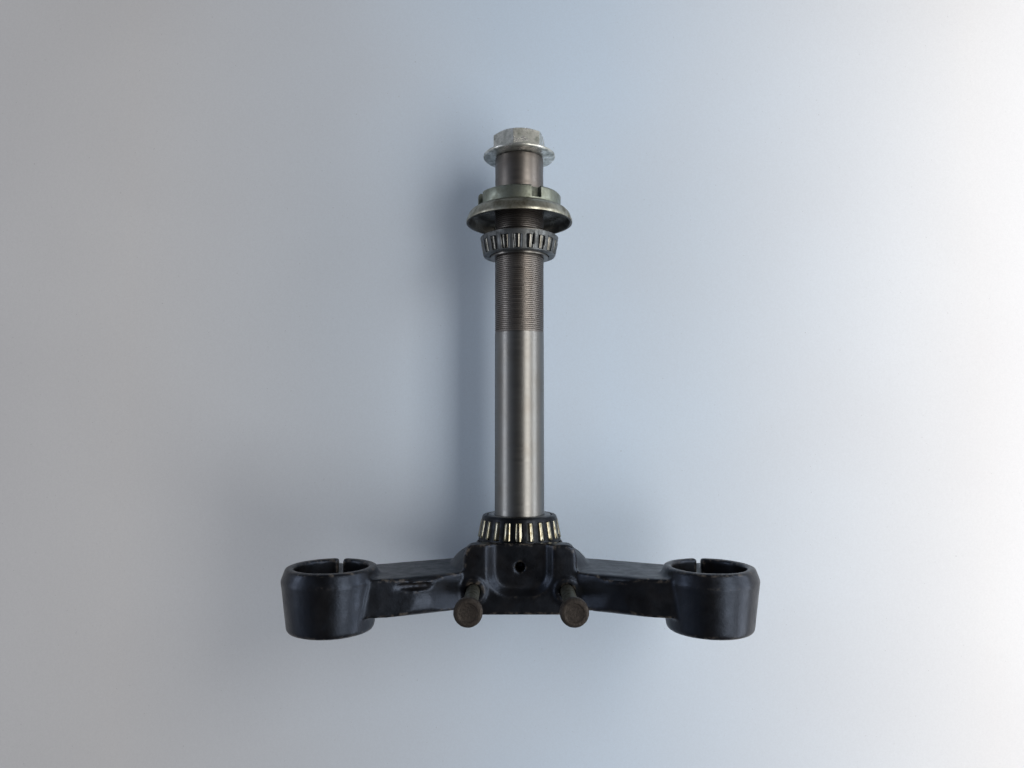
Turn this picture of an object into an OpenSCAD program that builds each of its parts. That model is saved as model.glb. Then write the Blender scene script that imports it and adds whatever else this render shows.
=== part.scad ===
// Lower triple clamp of a motorcycle with its steering stem, head bearings and nuts.
// Millimetres. The origin is on the stem's axis at the lower bearing's seat.
// +Z runs up the stem, -Y faces the front, and the fork clamps stand at +X and -X.

/* [Steering stem] */
// Diameter of the stem where the bearings sit
stem_d = 25; // [22:0.5:27]
// Diameter of the neck that the upper yoke clamps
neck_d = 24.8; // [20:0.1:26]
// Diameter of the bore through the stem
stem_bore_d = 16; // [10:0.5:18]
// Diameter of the foot that is pressed into the yoke
foot_d = 28; // [26:0.5:32]
// Height of the stem's top end above the bearing seat
stem_top = 197; // [190:1:240]
// Height of the lower end of the thread
thread_low = 107; // [90:1:130]
// Height of the upper end of the thread, where the neck begins
thread_top = 177.5; // [176:0.5:185]

/* [Fork clamps] */
// Distance between the two fork legs
fork_spacing = 172; // [160:1:200]
// Distance of the fork legs in front of the stem
fork_offset = 33; // [25:1:45]
// Diameter of the fork legs
fork_d = 33; // [30:0.5:36]
// Wall of a fork clamp at the forging's parting line
clamp_wall = 5.7; // [4:0.1:8]
// Height of a fork clamp
clamp_h = 28.5; // [22:0.5:34]
// Drop of the clamps' top face below the bearing seat
clamp_drop = 4.5; // [2:0.5:10]
// Width of the pinch slot
slot_w = 2.2; // [1.5:0.1:4]
// Diameter of the pinch bolts
pinch_d = 8; // [6:1:10]

/* [Arms] */
// Height of an arm
arm_h = 17; // [12:0.5:20]
// Width of an arm across its run
arm_w = 41; // [34:1:43]
// Depth of the scoop forged below the arm's top edge
scoop_depth = 2.8; // [1:0.1:3.5]

/* [Hub] */
// Radius of the hub behind the block
shoulder_r = 36; // [34:0.5:40]
// Half width of the front block at its top
block_half_w = 26.4; // [24:0.1:30]
// Distance from the stem's axis to the front face of the block
block_front = 27; // [25.5:0.5:30]
// Height of the two columns above the bearing seat
column_h = 3.9; // [2:0.1:5]
// Half width of the recess between the columns
recess_half_w = 15.6; // [12:0.1:18]
// Height of the hub from its underside to the bearing seat
hub_h = 28.5; // [26:0.5:34]

/* [Front pins] */
// Distance between the two front pins
pin_spacing = 43.6; // [38:0.2:50]
// Diameter of a pin's shank
pin_d = 6.4; // [5:0.2:8]
// Diameter of a pin's head
pin_head_d = 12; // [9:0.2:14]
// How far a pin's head stands in front of the block
pin_reach = 40; // [20:1:45]

/* [Bearings] */
// Number of rollers in the lower bearing
lower_count = 22; // [18:1:24]
// Number of rollers in the upper bearing
upper_count = 19; // [15:1:20]
// Height of the lower bearing's inner race
lower_race_h = 15; // [14.8:0.1:18]
// Height of the upper bearing's inner race
upper_race_h = 13.5; // [13:0.1:16]
// Height of the upper race's lower face on the stem
upper_seat = 143.4; // [130:0.1:145]

/* [Cover, nut and bolt] */
// Radius of the dust cover's rim
cover_r = 27.2; // [24:0.1:30]
// Height of the dust cover's flat top
cover_top = 169.6; // [168:0.1:172]
// Thickness of the dust cover's sheet
cover_t = 1.1; // [0.8:0.1:2]
// Diameter of the ring nut
nut_d = 42.6; // [36:0.2:48]
// Height of the ring nut
nut_h = 7.2; // [5:0.1:10]
// Width of the ring nut's four slots
nut_slot_w = 5.2; // [4:0.1:7]
// Width of the head bolt's hexagon across its flats
head_af = 24; // [19:1:27]
// Diameter of the head bolt's flange
flange_d = 37; // [30:0.5:42]

/* [Hidden] */

// Gaps between pieces that move on each other
slide_gap = 0.05;
run_gap = 0.08;
eps = 0.01;
// The thread is left as a cylinder a little thinner than the ground shaft
thread_relief = 0.1;
fine = 96;
medium = 64;

// Fork clamp
fork_r = fork_d / 2;
clamp_r = fork_r + clamp_wall;
clamp_top = -clamp_drop;
clamp_bottom = clamp_top - clamp_h;
parting_z = clamp_top - 6.1;
clamp_x = fork_spacing / 2;
draft_up = 1.8;
draft_down = 2.7;
edge_break = 0.6;

// Pinch lugs and bolts
lug_half_w = 10.5;
lug_back = 30.5;
lug_top = clamp_top - 4.2;
lug_h = 19;
lug_bolt_y = fork_r + pinch_d / 2 + 2.2;
lug_bolt_z = lug_top - lug_h / 2;
pinch_head_af = 12;
pinch_head_h = 6.5;
washer_t = 1.8;
washer_d = pinch_d * 1.85;

// Arms
arm_top = -8.6;
arm_bottom = arm_top - arm_h;
arm_root = [20, -5];
arm_tip = [clamp_x - 14, 4.2 - fork_offset];
arm_angle = atan2(arm_tip.y - arm_root.y, arm_tip.x - arm_root.x);
arm_run = norm(arm_tip - arm_root);
scoop_r = 52;
pocket_depth = 3;
pocket_t = 2.8;
pocket_r = 40;

// Hub
seat_washer_t = 1;
hub_top = -seat_washer_t;
hub_bottom = -hub_h;
shoulder_round = 14.7;
block_back = 18;
flare_r = 6.5;
flare_z = -7;
recess_bottom = -20.2;
recess_corner = 11;
recess_depth = 3.6;
seal_hole_d = 4.5;
seal_hole_z = -7.2;
stop_half_w = 9;
stop_back = 36;

// Front pins
pin_x = pin_spacing / 2;
pin_z = -17.3;
pin_boss_r = 5.9;
pin_boss_h = 1.2;
pin_head_t = 4.2;
pin_depth = 16;

// Bearing: count, large roller radius, small roller radius, length, outer radius,
// height of the large end, how far the first roller is turned from the front,
// race height, cage's offset from the rollers' axes, skirt and lip of the cage
LOWER = [lower_count, 2.25, 2.02, 8.8, stem_d / 2 + 8.5, 3.65, -1.8, lower_race_h, 1.15, 1.5, 1.3];
UPPER = [upper_count, 2.3, 2.08, 6.6, stem_d / 2 + 7.4, 3.9, -3.7, upper_race_h, 1.5, 2.4, 0.5];
roller_tilt = 10;
cage_t = 1.0;
rib_step = 1.7;
small_rib = 0.6;
well_r = LOWER[4] + 0.8;

// Nut, cover and bolt
cover_round = 5;
rim_h = 1.9;
cover_h = cover_round + rim_h;
nut_bottom = cover_top + slide_gap;
nut_slot_depth = 3.4;
nut_slot_drop = 6;
nut_turn = 23;
bolt_thread_d = stem_bore_d;
bolt_thread_l = 28;
flange_t = 1.5;
flange_cone_h = 3.2;
hex_h = 8.6;
hex_turn = 17;

// Points of an arc from angle a to angle b
function arc_points(centre, r, a, b, n = 8) =
    [for (i = [0:n]) let (t = a + (b - a) * i / n) centre + r * [cos(t), sin(t)]];

// An outline whose corners [x, y, radius] are rounded
function rounded(corners, n = 5) = [
    for (i = [0:len(corners) - 1])
        let (
            here = corners[i],
            c = [here.x, here.y],
            prev = corners[(i + len(corners) - 1) % len(corners)],
            next = corners[(i + 1) % len(corners)],
            u = unit([prev.x, prev.y] - c),
            v = unit([next.x, next.y] - c),
            half = acos(max(-1, min(1, u * v))) / 2,
            back = here[2] / tan(half),
            centre = c + unit(u + v) * here[2] / sin(half),
            from = c + u * back - centre,
            to = c + v * back - centre,
            a = atan2(from.y, from.x),
            turn = ((atan2(to.y, to.x) - a + 540) % 360) - 180
        )
        for (k = [0:here[2] > 0 ? n : 0])
            here[2] > 0 ? centre + here[2] * [cos(a + turn * k / n), sin(a + turn * k / n)] : c];
function unit(v) = v / norm(v);

// Places what follows once at each fork clamp
module at_clamp(side) translate([side * clamp_x, -fork_offset, 0]) children();

// A solid whose front elevation is given as points in X and Z
module along_y(from_y, to_y, points)
    translate([0, to_y, 0]) rotate([90, 0, 0]) linear_extrude(to_y - from_y) polygon(points);

// Lower yoke: one forging with two clamps, two arms and the hub
module clamp_ring() {
    rotate_extrude($fn = fine) polygon([
        [fork_r - 2, clamp_bottom],
        [clamp_r - draft_down - 2 * edge_break, clamp_bottom],
        [clamp_r - draft_down, clamp_bottom + 2 * edge_break],
        [clamp_r - 0.25, parting_z - 1.2],
        [clamp_r, parting_z - 0.3],
        [clamp_r, parting_z + 0.3],
        [clamp_r - 0.35, parting_z + 1.5],
        [clamp_r - draft_up, clamp_top - edge_break],
        [clamp_r - draft_up - edge_break, clamp_top],
        [fork_r - 2, clamp_top]]);
}

module clamp_bore() {
    translate([0, 0, clamp_bottom - 1]) cylinder(h = clamp_h + 2, r = fork_r, $fn = fine);
    translate([0, 0, clamp_top - edge_break])
        cylinder(h = edge_break + eps, r1 = fork_r, r2 = fork_r + edge_break, $fn = fine);
    translate([0, 0, clamp_bottom - eps])
        cylinder(h = edge_break + eps, r1 = fork_r + edge_break, r2 = fork_r, $fn = fine);
}

module pinch_lug() {
    translate([0, 0, lug_top - lug_h]) linear_extrude(lug_h) polygon(rounded([
        [-lug_half_w, 8, 0], [lug_half_w, 8, 0],
        [lug_half_w, lug_back, 3.5], [-lug_half_w, lug_back, 3.5]]));
}

module arm_plan() {
    // A band as wide as the clamp, whose front wall swells a little and runs on into the ring
    half = arm_w / 2;
    polygon(rounded([
        [-4, half, 0], [arm_run + 10, half, 5], [arm_run + 14, 0, 4], [arm_run + 9, 6 - half, 10],
        [arm_run * 0.62, -half - 1, 25], [arm_run * 0.25, 3.2 - half, 15], [-4, 6 - half, 0]]));
}

// Lens-shaped hollow in an arm's front wall
module lens(along, deep, r, low, high)
    translate([along, deep - arm_w / 2 - r - 0.6, low]) cylinder(h = high - low, r = r, $fn = fine);

module arm(side) {
    half = arm_w / 2;
    translate([arm_root.x, arm_root.y, 0]) rotate(arm_angle) difference() {
        intersection() {
            translate([0, 0, arm_bottom - 4]) linear_extrude(arm_h + 4) arm_plan();
            // Section across the arm, with draft on both sides of the parting line
            rotate([90, 0, 90]) translate([0, 0, -5]) linear_extrude(arm_run + 30) polygon(rounded([
                [half + 0.5, parting_z, 0.8], [half - 1.5, arm_top, 1.5],
                [2.2 - half, arm_top, 2.4], [-half - 0.8, parting_z, 0.5],
                [0.4 - half, arm_bottom, 3], [half - 0.7, arm_bottom, 3]]));
        }
        // Long scoop above the parting line
        lens(arm_run * 0.62, scoop_depth, scoop_r, parting_z + 0.4, arm_top + 1);
        // Short pocket below it, in the left arm alone
        if (side < 0)
            lens(arm_run * 0.75, pocket_depth, pocket_r, parting_z - 0.5 - pocket_t, parting_z - 0.5);
    }
}

module front_block() {
    // Two columns that flare out into the arms
    flare = arc_points([block_half_w + flare_r, flare_z], flare_r, 180, 262, 7);
    right = concat([[0, hub_bottom], [block_half_w - 3, hub_bottom], [block_half_w + 1, hub_bottom + 3],
                    [block_half_w + flare_r - 1, arm_bottom + 3]],
                   [for (i = [len(flare) - 1:-1:0]) flare[i]],
                   arc_points([block_half_w - 5, column_h - 5], 5, 0, 90, 6));
    left = [for (i = [len(right) - 1:-1:1]) [-right[i].x, right[i].y]];
    along_y(-block_front, -block_back, concat(right, left));
}

module hub_body() {
    intersection() {
        rotate_extrude($fn = fine) polygon(concat(
            [[0, hub_bottom], [shoulder_r - 8, hub_bottom], [shoulder_r - 5, hub_bottom + 2],
             [shoulder_r - 1.2, arm_bottom + 4]],
            arc_points([shoulder_r - shoulder_round, hub_top - shoulder_round], shoulder_round, 10, 90, 8),
            [[0, hub_top]]));
        translate([-60, 2 - block_front, hub_bottom - 1]) cube([120, block_front + 27, hub_h + 2]);
    }
}

// Outline of the recess, with a round bottom and open at its top
module recess_outline(half_w, low, r, y)
    along_y(y - eps, y, concat(
        [[-half_w, column_h + 1]], arc_points([r - half_w, low + r], r, 180, 270, 6),
        arc_points([half_w - r, low + r], r, 270, 360, 6), [[half_w, column_h + 1]]));

// Drafted recess in the front of the block
module recess() hull() {
    recess_outline(recess_half_w + 0.5, recess_bottom - 0.5, recess_corner + 0.5, -block_front - 0.5);
    recess_outline(recess_half_w - recess_depth, recess_bottom + recess_depth,
                   recess_corner - recess_depth, recess_depth - block_front);
}

module pinch_cuts(side) {
    translate([-slot_w / 2, 0, clamp_bottom - 1]) cube([slot_w, lug_back + 4, clamp_h + 2]);
    translate([0, lug_bolt_y, lug_bolt_z]) rotate([0, side * 90, 0]) {
        translate([0, 0, -lug_half_w - 20]) cylinder(h = 2 * lug_half_w + 60, r = pinch_d / 2, $fn = medium);
        translate([0, 0, lug_half_w - 0.6]) cylinder(h = 12, r = washer_d / 2 + 0.5, $fn = medium);
    }
}

module lower_yoke() {
    color("#1b1c20") difference() {
        union() {
            for (side = [-1, 1]) {
                at_clamp(side) {
                    clamp_ring();
                    pinch_lug();
                }
                if (side > 0) arm(side); else mirror([1, 0, 0]) arm(side);
            }
            front_block();
            hub_body();
            // Steering stop behind the hub
            translate([0, 0, hub_bottom]) linear_extrude(9) polygon(rounded([
                [-stop_half_w - 6, 20, 0], [stop_half_w + 6, 20, 0], [stop_half_w, stop_back, 3],
                [-stop_half_w, stop_back, 3]]));
            // Bosses of the front pins
            for (side = [-1, 1]) translate([side * pin_x, -block_front + 3, pin_z]) rotate([90, 0, 0])
                cylinder(h = 3 + pin_boss_h, r1 = pin_boss_r + 0.5, r2 = pin_boss_r, $fn = medium);
        }
        recess();
        for (side = [-1, 1]) {
            at_clamp(side) {
                clamp_bore();
                pinch_cuts(side);
            }
            translate([side * pin_x, -block_front - 5, pin_z]) rotate([-90, 0, 0])
                cylinder(h = 5 + pin_depth, r = pin_d / 2, $fn = medium);
        }
        // Well round the seat, and the bore that holds the stem's foot
        translate([0, 0, hub_top]) cylinder(h = 20, r = well_r, $fn = fine);
        translate([0, 0, hub_bottom - 1]) cylinder(h = hub_h + 2, r = foot_d / 2, $fn = fine);
        // Small blind hole in the middle of the recess
        translate([0, -block_front, seal_hole_z]) rotate([-90, 0, 0])
            cylinder(h = block_front - foot_d / 2 - 1.5, r = seal_hole_d / 2, $fn = 32);
    }
}

// Steering stem: one turned tube with a foot, a ground shaft, a thread and a neck
module steering_stem() {
    color("#8d8c88") rotate_extrude($fn = fine) polygon([
        [stem_bore_d / 2, hub_bottom], [foot_d / 2 - 0.8, hub_bottom], [foot_d / 2, hub_bottom + 0.8],
        [foot_d / 2, hub_top], [stem_d / 2, hub_top],
        [stem_d / 2, thread_low], [stem_d / 2 - thread_relief, thread_low + 3 * thread_relief],
        [stem_d / 2 - thread_relief, thread_top - 1.5], [neck_d / 2 - 0.2, thread_top - 0.7],
        [neck_d / 2 - 0.2, thread_top + 0.6], [neck_d / 2, thread_top + 0.8],
        [neck_d / 2, stem_top - 0.8], [neck_d / 2 - 0.8, stem_top], [stem_bore_d / 2, stem_top]]);
}

// Rubber seal that lies under the lower race, with a domed lip
module dust_seal() {
    color("#191a1c") rotate_extrude($fn = fine) polygon([
        [stem_d / 2, hub_top], [well_r - 0.6, hub_top], [well_r - 0.2, hub_top + 0.5],
        [well_r - 0.3, 1.2], [well_r - 0.8, 1.8], [well_r - 1.1, 1.8], [well_r - 1.5, 1.4],
        [well_r - 1.5, 0.6], [well_r - 2, 0], [stem_d / 2, 0]]);
}

// Points on a roller's axis, and its inner side, at a distance t from its large end
function roller_r(b, t) = b[1] + (b[2] - b[1]) * t / b[3];
function roller_foot(b) = [b[4] - b[1] * cos(roller_tilt), b[5]];
function roller_axis(b, t) = roller_foot(b) + t * [-sin(roller_tilt), cos(roller_tilt)];
function roller_side(b, t, gap) =
    roller_axis(b, t) - (roller_r(b, t) + gap) * [cos(roller_tilt), sin(roller_tilt)];
function roller_rim(b, t, out) =
    roller_axis(b, t) + out * [cos(roller_tilt), sin(roller_tilt)];

module race(b, bore_r) {
    low = roller_side(b, -run_gap, run_gap);
    high = roller_side(b, b[3] + run_gap, run_gap);
    rotate_extrude($fn = fine) polygon([
        [bore_r, 0.6], [bore_r + 0.6, 0], [low.x + rib_step - 0.5, 0], [low.x + rib_step, 0.5],
        low + rib_step * [1, tan(roller_tilt)], low, high, high + small_rib * [1, tan(roller_tilt)],
        [high.x + small_rib, b[7] - 0.5], [high.x + 0.1, b[7]], [bore_r + 0.6, b[7]],
        [bore_r, b[7] - 0.6]]);
}

module roller(b, gap) {
    foot = roller_axis(b, -gap);
    translate([foot.x, 0, foot.y]) rotate([0, -roller_tilt, 0])
        cylinder(h = b[3] + 2 * gap, r1 = b[1] + gap, r2 = b[2] + gap, $fn = 32);
}

module rollers(b, gap = 0)
    for (i = [0:b[0] - 1]) rotate(-90 + b[6] + i * 360 / b[0]) roller(b, gap);

module cage(b) {
    // A pressed cone with one window for each roller and a turned-in lip at the small end
    low_in = roller_rim(b, -b[9], b[8] - cage_t / 2);
    low_out = roller_rim(b, -b[9], b[8] + cage_t / 2);
    high_in = roller_rim(b, b[3] + 0.7, b[8] - cage_t / 2);
    high_out = roller_rim(b, b[3] + 0.9, b[8] + cage_t / 2);
    lip = high_out + [-1.1, b[10]];
    // The lip ends just outside the race's small rib
    lip_r = roller_side(b, b[3], 0).x + small_rib + 0.35;
    difference() {
        rotate_extrude($fn = fine) polygon([
            low_in, low_out, high_out, lip + [0.7, -0.3 * b[10]], lip, [lip_r + 0.3, lip.y], [lip_r, lip.y - 0.3],
            [lip_r, lip.y - cage_t], [lip.x - 0.3, lip.y - cage_t], high_in]);
        rollers(b, 0.12);
    }
}

module lower_race() color("#5b5d60") race(LOWER, stem_d / 2);
module lower_cage() color("#2b2f38") cage(LOWER);
module lower_rollers() color("#c9b98a") rollers(LOWER);

// The upper bearing stands the other way up, with its large end towards the cover
module upside_down() translate([0, 0, upper_seat + upper_race_h]) mirror([0, 0, 1]) children();
module upper_race() color("#55534f") upside_down() race(UPPER, stem_d / 2 + slide_gap);
module upper_cage() color("#7b7d78") upside_down() cage(UPPER);
module upper_rollers() color("#b9b7ae") upside_down() rollers(UPPER);

// Pressed cover with a flat top, a rounded shoulder and a rim that opens down
module dust_cover() {
    low = cover_top - cover_h;
    round_z = cover_top - cover_round;
    outer = concat(
        [[cover_r, low], [cover_r, low + 0.7 * rim_h], [cover_r - 0.4, low + rim_h + 0.2]],
        arc_points([cover_r - cover_round - 0.6, round_z], cover_round, 20, 90, 7),
        [[stem_d / 2 + 2 * slide_gap, cover_top]]);
    inner = concat(
        [[stem_d / 2 + 2 * slide_gap, cover_top - cover_t], [cover_r - cover_round - 1, cover_top - cover_t]],
        arc_points([cover_r - cover_round - 0.8, round_z], cover_round - cover_t, 88, 20, 7),
        [[cover_r - cover_t - 0.6, round_z], [cover_r - cover_t, low]]);
    color("#74736a") rotate_extrude($fn = fine) polygon(concat(outer, inner));
}

// Ring nut with four slots for a hook wrench
module ring_nut() {
    color("#70736f") translate([0, 0, nut_bottom]) difference() {
        rotate_extrude($fn = fine) polygon([
            [stem_d / 2 + slide_gap + 0.6, 0], [nut_d / 2 - 0.6, 0], [nut_d / 2, 0.6], [nut_d / 2, nut_h - 0.8],
            [nut_d / 2 - 0.8, nut_h], [stem_d / 2 + slide_gap + 0.6, nut_h],
            [stem_d / 2 + slide_gap, nut_h - 0.6], [stem_d / 2 + slide_gap, 0.6]]);
        for (i = [0:3]) rotate(nut_turn - 90 + i * 90)
            translate([nut_d / 2 - nut_slot_depth, -nut_slot_w / 2, nut_h - nut_slot_drop])
                cube([nut_slot_depth + 2, nut_slot_w, nut_slot_drop + 1]);
    }
}

// Flanged head bolt, screwed down into the stem
module head_bolt() {
    hex_r = head_af / 2 / cos(30);
    color("#8f9391") translate([0, 0, stem_top]) union() {
        rotate_extrude($fn = fine) polygon([
            [0, 0], [flange_d / 2 - 0.6, 0], [flange_d / 2, 0.5], [flange_d / 2, flange_t - 0.3],
            [flange_d / 2 - 0.6, flange_t], [head_af / 2 + 1.2, flange_cone_h], [0, flange_cone_h]]);
        intersection() {
            translate([0, 0, flange_cone_h - 1]) rotate(hex_turn) cylinder(h = hex_h + 1, r = hex_r, $fn = 6);
            rotate_extrude($fn = fine) polygon([
                [0, 0], [hex_r + 1, 0], [hex_r + 1, flange_cone_h + hex_h - 1.6],
                [head_af / 2 - 0.6, flange_cone_h + hex_h], [0, flange_cone_h + hex_h]]);
        }
        rotate([180, 0, 0]) rotate_extrude($fn = fine) polygon([
            [0, 0], [bolt_thread_d / 2, 0], [bolt_thread_d / 2, bolt_thread_l - 1.5],
            [bolt_thread_d / 2 - 1.5, bolt_thread_l], [0, bolt_thread_l]]);
    }
}

// Headed pin pressed into the front of the block
module front_pin(side) {
    color("#5a4a40") translate([side * pin_x, -block_front + pin_depth, pin_z]) rotate([90, 0, 0])
        rotate_extrude($fn = medium) polygon([
            [0, 0], [pin_d / 2 - 0.6, 0], [pin_d / 2, 0.6],
            [pin_d / 2, pin_depth + pin_reach - pin_head_t],
            [pin_head_d / 2 - 0.6, pin_depth + pin_reach - pin_head_t],
            [pin_head_d / 2, pin_depth + pin_reach - pin_head_t + 0.6],
            [pin_head_d / 2, pin_depth + pin_reach - 0.8],
            [pin_head_d / 2 - 0.8, pin_depth + pin_reach],
            [pin_head_d / 2 - 2, pin_depth + pin_reach],
            [pin_head_d / 2 - 2.3, pin_depth + pin_reach - 0.3],
            [0, pin_depth + pin_reach - 0.3]]);
}

module front_pin_left() front_pin(-1);
module front_pin_right() front_pin(1);

// Pinch bolts run along X, with the head on the outer lug
module at_pinch(side)
    at_clamp(side) translate([side * (lug_half_w - 0.6), lug_bolt_y, lug_bolt_z]) rotate([0, side * 90, 0])
        children();

module pinch_bolt(side) {
    hex_r = pinch_head_af / 2 / cos(30);
    color("#6d6f6c") at_pinch(side) {
        translate([0, 0, washer_t]) cylinder(h = pinch_head_h, r = hex_r, $fn = 6);
        translate([0, 0, 2 - 2 * lug_half_w])
            cylinder(h = 2 * lug_half_w - 2 + washer_t, r = pinch_d / 2, $fn = medium);
    }
}

module pinch_bolt_left() pinch_bolt(-1);
module pinch_bolt_right() pinch_bolt(1);

module pinch_washer(side)
    color("#5f605e") at_pinch(side) difference() {
        cylinder(h = washer_t, r = washer_d / 2, $fn = medium);
        translate([0, 0, -1]) cylinder(h = washer_t + 2, r = pinch_d / 2, $fn = medium);
    }

module pinch_washer_left() pinch_washer(-1);
module pinch_washer_right() pinch_washer(1);

lower_yoke();
steering_stem();
dust_seal();
lower_race();
lower_cage();
lower_rollers();
upper_race();
upper_cage();
upper_rollers();
dust_cover();
ring_nut();
head_bolt();
front_pin_left();
front_pin_right();
pinch_bolt_left();
pinch_bolt_right();
pinch_washer_left();
pinch_washer_right();
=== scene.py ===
"""Visual model of a lower triple clamp with its steering stem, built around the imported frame."""

import math

import bmesh
import bpy
import numpy as np
from bpy.props import (
    FloatProperty, FloatVectorProperty, IntProperty, PointerProperty, StringProperty,
)
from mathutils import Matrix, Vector, noise


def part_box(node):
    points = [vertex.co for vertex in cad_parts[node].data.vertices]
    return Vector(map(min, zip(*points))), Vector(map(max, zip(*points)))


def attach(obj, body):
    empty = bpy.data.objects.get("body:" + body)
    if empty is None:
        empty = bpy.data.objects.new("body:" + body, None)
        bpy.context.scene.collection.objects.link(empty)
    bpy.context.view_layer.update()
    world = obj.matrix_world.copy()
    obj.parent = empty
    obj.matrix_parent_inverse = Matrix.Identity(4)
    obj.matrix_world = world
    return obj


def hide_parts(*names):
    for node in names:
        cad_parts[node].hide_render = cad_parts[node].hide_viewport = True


bl_info = {
    "name": "Triple clamp with steering stem",
    "version": (1, 0, 0),
    "blender": (4, 5, 0),
    "location": "View3D > Sidebar > Triple clamp",
    "description": "Builds the surfaces of a lower triple clamp, its stem, bearings and nuts",
    "category": "Object",
}

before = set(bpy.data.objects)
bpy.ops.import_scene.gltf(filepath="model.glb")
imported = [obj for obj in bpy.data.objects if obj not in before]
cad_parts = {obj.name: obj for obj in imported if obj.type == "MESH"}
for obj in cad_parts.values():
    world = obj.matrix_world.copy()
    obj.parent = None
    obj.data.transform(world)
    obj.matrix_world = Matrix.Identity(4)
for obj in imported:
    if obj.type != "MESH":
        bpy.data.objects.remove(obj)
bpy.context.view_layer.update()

MM = 0.001
ROOT = "stem_and_yoke"
# Steps round a lathed piece
ROUND_STEPS = 128


def mm(name, value, text, low=0.0):
    """A size in millimetres that a user may change."""
    return FloatProperty(name=name, description=text, default=value, min=low)


def hex_colour(name, value, text):
    """A colour as sRGB hex."""
    return StringProperty(name=name, description=text, default=value)


class TripleClampStem(bpy.types.PropertyGroup):
    """Sizes of the steering stem and its thread, in millimetres"""

    radius: mm("Shaft radius", 12.5, "Radius of the ground shaft")
    neck_radius: mm("Neck radius", 12.4, "Radius of the neck above the thread")
    bore_radius: mm("Bore radius", 8.0, "Radius of the bore through the stem")
    foot_radius: mm("Foot radius", 14.0, "Radius of the foot pressed into the yoke")
    thread_low: mm("Thread's low end", 107.0, "Height of the thread's lower end")
    thread_top: mm("Thread's top end", 177.5, "Height of the thread's upper end")
    pitch: mm("Pitch", 1.0, "Distance between two turns of the thread", 0.5)
    foot_top: FloatProperty(name="Foot top", description="Height of the foot's top", default=-1.0)


class TripleClampBearing(bpy.types.PropertyGroup):
    """Sizes of one taper roller bearing, in millimetres, with the lower one's as defaults"""

    count: IntProperty(name="Rollers", description="Number of rollers", default=22, min=3)
    big_radius: mm("Large radius", 2.25, "Radius of a roller's large end")
    small_radius: mm("Small radius", 2.02, "Radius of a roller's small end")
    length: mm("Length", 8.8, "Length of a roller")
    outer: mm("Outer radius", 21.0, "Radius over the rollers' large ends")
    low: mm("Large end's height", 3.65, "Height of the rollers' large ends above the race's face")
    turn: FloatProperty(name="Turn", default=-1.8,
                        description="Angle of the first roller from the front, in degrees")
    tilt: FloatProperty(name="Tilt", default=10.0,
                        description="Tilt of a roller's axis, in degrees")
    bore: mm("Bore radius", 12.5, "Radius of the race's bore")
    height: mm("Height", 15.0, "Height of the race")
    rib: mm("Large rib", 1.7, "Width of the rib behind the rollers' large ends")
    small_rib: mm("Small rib", 0.6, "Width of the rib at the rollers' small ends")


class TripleClampColours(bpy.types.PropertyGroup):
    """Colours of the finishes, as sRGB hex"""

    enamel: hex_colour("Enamel", "0a0908", "Black enamel of the forging")
    enamel_dust: hex_colour("Dust", "262321", "Brown dust in the forging's corners")
    enamel_wear: hex_colour("Wear", "534e48", "Bare steel along worn edges")
    shaft: hex_colour("Shaft", "737474", "Ground steel of the shaft")
    thread: hex_colour("Thread", "34302e", "Stained steel of the thread")
    neck: hex_colour("Neck", "6c6967", "Turned steel of the neck")
    roller: hex_colour("Roller", "989689", "Polished rollers under a film of grease")
    cage_dark: hex_colour("Dark cage", "1f2329", "Blue-black cage of the lower bearing")
    cage_grey: hex_colour("Grey cage", "64686b", "Grey cage of the upper bearing")
    race: hex_colour("Race", "6b6a68", "Ground race")
    cover: hex_colour("Cover", "a6a79c", "Olive zinc of the dust cover")
    nut: hex_colour("Nut", "858c84", "Greenish zinc of the ring nut")
    bolt: hex_colour("Bolt", "dcdeda", "Bright zinc of the head bolt")
    rust: hex_colour("Rust", "1f1a17", "Rust on the pins' heads")
    shank: hex_colour("Shank", "5c5f57", "Dull zinc of the pins' shanks")
    rubber: hex_colour("Rubber", "1c1c1e", "Rubber of the seal")
    # This colour goes only on the board's middle, as a painted shade of the room
    board: hex_colour("Board", "bbcde1", "Painted board behind the part")


class TripleClampStage(bpy.types.PropertyGroup):
    """Camera, board and lamps"""

    focal_px: FloatProperty(name="Focal length", default=720.0,
                            description="Focal length in pixels of a frame 1024 wide")
    camera: FloatVectorProperty(name="Camera", description="Place of the camera", size=3,
                                unit="LENGTH", default=(-0.00376, -0.3654, 0.0592))
    tilt: FloatProperty(name="Tilt", default=3.3,
                        description="Tilt of the camera above the horizon, in degrees")
    board_y: FloatProperty(name="Board", description="Distance of the board behind the stem",
                           unit="LENGTH", default=0.0375)
    key_power: FloatProperty(name="Key", description="Power of the lamp at the front right",
                             unit="POWER", default=4.8)
    window_power: FloatProperty(name="Window", description="Power of the lamp beside the board",
                                unit="POWER", default=1.7)
    fill_power: FloatProperty(name="Fill", description="Power of the lamp at the left",
                              unit="POWER", default=2.35)
    sky: FloatProperty(name="Sky", description="Strength of the light from all round",
                       default=0.52)


def linear(hex_value):
    """An sRGB hex value as linear RGBA."""
    parts = [int(hex_value[i:i + 2], 16) / 255 for i in (0, 2, 4)]
    return [*(c / 12.92 if c <= 0.04045 else ((c + 0.055) / 1.055) ** 2.4
              for c in parts), 1.0]


def add_node(tree, kind, values=None, links=None, **settings):
    """Adds one node with its settings, socket values, and links as socket: (node, output)."""
    made = tree.nodes.new(kind)
    for key, value in settings.items():
        setattr(made, key, value)
    for key, value in (values or {}).items():
        made.inputs[key].default_value = value
    for key, (source, output) in (links or {}).items():
        tree.links.new(source.outputs[output], made.inputs[key])
    return made


# The colour sockets of a Mix node
MIX_A, MIX_B, MIX_OUT = 6, 7, 2


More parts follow.
